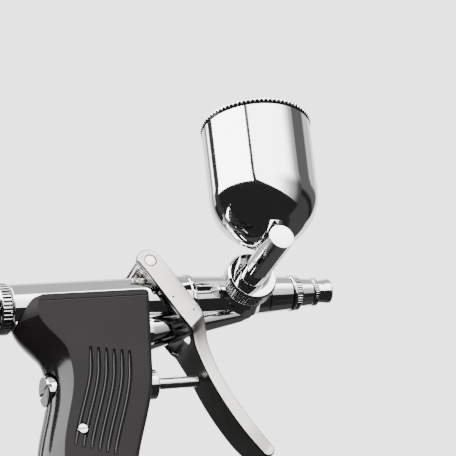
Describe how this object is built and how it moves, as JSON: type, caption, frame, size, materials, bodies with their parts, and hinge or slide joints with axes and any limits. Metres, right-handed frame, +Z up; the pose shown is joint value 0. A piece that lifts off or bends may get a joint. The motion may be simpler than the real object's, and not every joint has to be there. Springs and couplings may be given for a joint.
{
  "type": "airbrush gun",
  "caption": "Trigger-type airbrush gun with a pistol grip, a chromed barrel and a side-feed paint cup that turns on its stem.",
  "frame": {"origin": "on the barrel's axis, where the raked handle's axis crosses it", "axes": "+X along the barrel to the nozzle, +Z up, away from the grip, -Y to the side that the paint cup is on"},
  "size_m": [0.1433, 0.049, 0.1354],
  "materials": {
    "chrome": "mirror-polished chrome plate on brass",
    "satin_metal": "satin nickel plate, fine brushed",
    "steel": "bright ground stainless steel",
    "brass": "machined brass",
    "grip_plastic": "satin black moulded plastic",
    "seal_rubber": "soft black rubber",
    "seal_plastic": "white fluoropolymer seal"
  },
  "bodies": {
    "body": {"main_body": "chrome", "head_cap": "chrome", "head_collar": "chrome", "nozzle_cap": "chrome", "crown_ring": "chrome", "needle_cap": "chrome", "fluid_nozzle": "brass", "needle_packing": "seal_plastic", "packing_screw": "brass", "spring_guide": "brass", "needle_spring": "steel", "rear_ring": "chrome", "tail_handle": "chrome", "trigger_pin": "steel", "trigger_pin_nut": "steel", "trigger_spring": "steel", "valve_housing": "brass", "valve_gland": "chrome", "valve_packing": "seal_rubber", "valve_plug": "chrome", "valve_spring": "steel", "handle_tube": "brass", "air_inlet": "chrome", "inlet_nut": "chrome", "grip_right": "grip_plastic", "grip_left": "grip_plastic", "grip_screw_1": "steel", "grip_screw_2": "steel"},
    "trigger": {"trigger": "satin_metal"},
    "needle_set": {"needle": "steel", "needle_slider": "steel", "pull_pin_right": "steel", "pull_pin_left": "steel", "needle_chuck": "steel", "chuck_nut": "chrome"},
    "valve_pin": {"valve_plunger": "steel"},
    "paint_cup": {"cup_stem": "chrome", "cup_bowl": "chrome"},
    "lid": {"cup_lid": "chrome"},
    "cup_nut": {"cup_nut": "chrome"},
    "stop_knob": {"needle_stop_knob": "chrome"}
  },
  "joints": [
    {"name": "trigger_pull", "type": "hinge", "parent": "body", "child": "trigger", "pos_m": [0.0137, 0, 0.0078], "axis": [0, 1, 0], "range_deg": [0, 13], "stiffness_Nm_per_rad": 0.4, "springref_deg": -11.46, "deforming": ["trigger_spring"]},
    {"name": "needle_draw", "type": "slide", "parent": "body", "child": "needle_set", "axis": [-1, 0, 0], "range_m": [0, 0.0018], "stiffness_N_per_m": 40, "springref_m": -0.005, "deforming": ["needle_spring"]},
    {"name": "valve_push", "type": "slide", "parent": "body", "child": "valve_pin", "axis": [-1, 0, 0], "range_m": [0, 0.0073], "stiffness_N_per_m": 40, "springref_m": -0.004, "deforming": ["valve_spring"]},
    {"name": "cup_turn", "type": "hinge", "parent": "body", "child": "paint_cup", "pos_m": [0.04, -0.0254, 0], "axis": [0, 1, 0], "continuous": true},
    {"name": "lid_lift", "type": "slide", "parent": "paint_cup", "child": "lid", "axis": [0.134, 0, 0.991], "range_m": [0, 0.02]},
    {"name": "cup_nut_turn", "type": "hinge", "parent": "body", "child": "cup_nut", "pos_m": [0.04, -0.01, 0], "axis": [0, 1, 0], "continuous": true},
    {"name": "stop_knob_turn", "type": "hinge", "parent": "body", "child": "stop_knob", "pos_m": [-0.07, 0, 0], "axis": [1, 0, 0], "continuous": true}
  ],
  "couplings": [
    {"joint": "needle_draw", "follows": "trigger_pull", "m_per_rad": 0.0078},
    {"joint": "valve_push", "follows": "trigger_pull", "m_per_rad": 0.0318}
  ]
}
